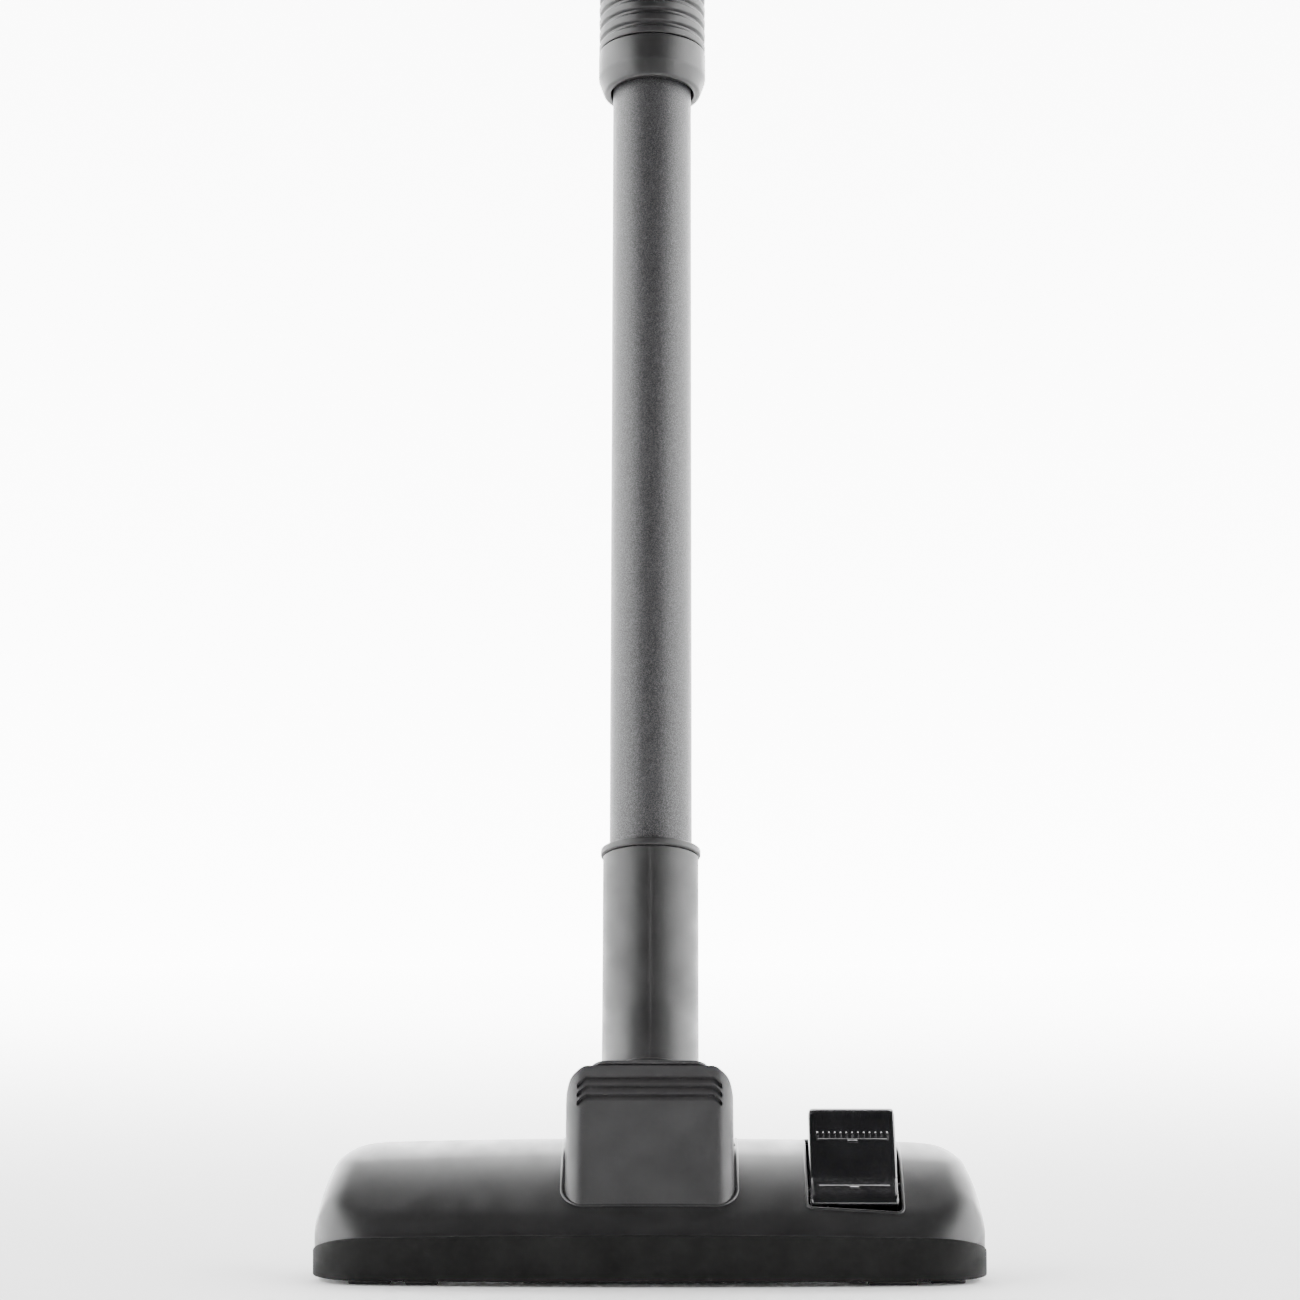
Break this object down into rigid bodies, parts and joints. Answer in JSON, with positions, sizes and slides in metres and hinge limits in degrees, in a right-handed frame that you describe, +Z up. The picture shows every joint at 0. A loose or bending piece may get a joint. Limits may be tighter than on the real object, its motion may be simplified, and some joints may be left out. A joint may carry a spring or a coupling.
{
  "type": "canister vacuum floor tool and telescopic wand",
  "caption": "Wide floor nozzle with rocker pedal and tilting, swivelling neck, carrying a telescopic tube with a ribbed lock sleeve and a socket for the hose handle.",
  "frame": {"origin": "on the floor, below the middle of the floor tool's body", "axes": "+Z up; +X along the floor tool's width, pedal side; +Y from the tool's nose towards the person holding the wand"},
  "size_m": [0.2756, 0.255, 0.6472],
  "materials": {
    "shell_plastic": "satin",
    "bumper_rubber": "soft matte",
    "base_plastic": "matte",
    "steel": "brushed",
    "felt": "short pile",
    "screw_steel": "zinc",
    "hub_plastic": "satin",
    "neck_plastic": "satin",
    "pedal_plastic": "polished",
    "bristle": "fibre",
    "tyre_rubber": "matte",
    "wheel_plastic": "satin",
    "coated_tube": "dark powder coat",
    "bare_tube": "satin anodised",
    "sleeve_plastic": "satin",
    "seal_rubber": "soft",
    "bearing_plastic": "acetal"
  },
  "bodies": {
    "floor_head": {"top_shell": "shell_plastic", "bumper": "bumper_rubber", "base_tray": "base_plastic", "sole_plate": "steel", "lint_pickers": "felt", "glide_pads": "bearing_plastic", "bearing_caps": "base_plastic", "cap_screws": "screw_steel", "housing_screws": "screw_steel", "front_wiper": "seal_rubber", "rear_wiper": "seal_rubber", "pedal_pin": "screw_steel", "axle_left": "screw_steel", "axle_right": "screw_steel"},
    "left_wheel": {"wheel_left": "wheel_plastic", "tyre_left": "tyre_rubber"},
    "right_wheel": {"wheel_right": "wheel_plastic", "tyre_right": "tyre_rubber"},
    "rocker": {"pedal": "pedal_plastic"},
    "brushes": {"brush_frame": "base_plastic", "front_bristles": "bristle", "rear_bristles": "bristle"},
    "hub": {"hub_body": "hub_plastic", "hub_cover": "hub_plastic", "collar_plate": "hub_plastic", "collar_screws": "screw_steel", "swivel_seal": "seal_rubber"},
    "neck": {"neck_left": "neck_plastic", "neck_right": "neck_plastic", "neck_ring": "neck_plastic", "neck_seal": "seal_rubber"},
    "lower_wand": {"outer_tube": "coated_tube", "sleeve_collar": "sleeve_plastic", "sleeve_cap": "sleeve_plastic", "guide_bush": "bearing_plastic"},
    "slider": {"lock_slider": "sleeve_plastic"},
    "key": {"lock_key": "steel"},
    "upper_wand": {"inner_tube": "bare_tube", "slide_ring": "bearing_plastic", "handle_socket": "sleeve_plastic", "socket_seal": "seal_rubber"}
  },
  "joints": [
    {"name": "tilt", "type": "hinge", "parent": "floor_head", "child": "hub", "pos_m": [0, -0.003, 0.034], "axis": [-1, 0, 0], "range_deg": [-12, 60]},
    {"name": "swivel", "type": "hinge", "parent": "hub", "child": "neck", "pos_m": [0, 0.00789, 0.07153], "axis": [0, 0.5878, 0.809], "range_deg": [-60, 60]},
    {"name": "wand_pull_off", "type": "slide", "parent": "neck", "child": "lower_wand", "axis": [0, 0.2807, 0.9598], "range_m": [0, 0.05]},
    {"name": "telescope", "type": "slide", "parent": "lower_wand", "child": "upper_wand", "axis": [0, 0.2807, 0.9598], "range_m": [0, 0.32]},
    {"name": "lock_slide", "type": "slide", "parent": "lower_wand", "child": "slider", "axis": [0, 0.2807, 0.9598], "range_m": [0, 0.006], "stiffness_N_per_m": 400, "springref_m": -0.004},
    {"name": "key_lift", "type": "slide", "parent": "lower_wand", "child": "key", "axis": [0, 0.9598, -0.2807], "range_m": [0, 0.0012]},
    {"name": "pedal_rock", "type": "hinge", "parent": "floor_head", "child": "rocker", "pos_m": [0.0835, -0.002, 0.034], "axis": [-1, 0, 0], "range_deg": [0, 22]},
    {"name": "brush_drop", "type": "slide", "parent": "floor_head", "child": "brushes", "axis": [0, 0, -1], "range_m": [0, 0.0049]},
    {"name": "left_wheel_spin", "type": "hinge", "parent": "floor_head", "child": "left_wheel", "pos_m": [-0.088, 0.054, 0.012], "axis": [1, 0, 0], "continuous": true},
    {"name": "right_wheel_spin", "type": "hinge", "parent": "floor_head", "child": "right_wheel", "pos_m": [0.088, 0.054, 0.012], "axis": [1, 0, 0], "continuous": true}
  ],
  "couplings": [
    {"joint": "brush_drop", "follows": "pedal_rock", "m_per_rad": 0.0125},
    {"joint": "key_lift", "follows": "lock_slide", "ratio": 0.2}
  ]
}
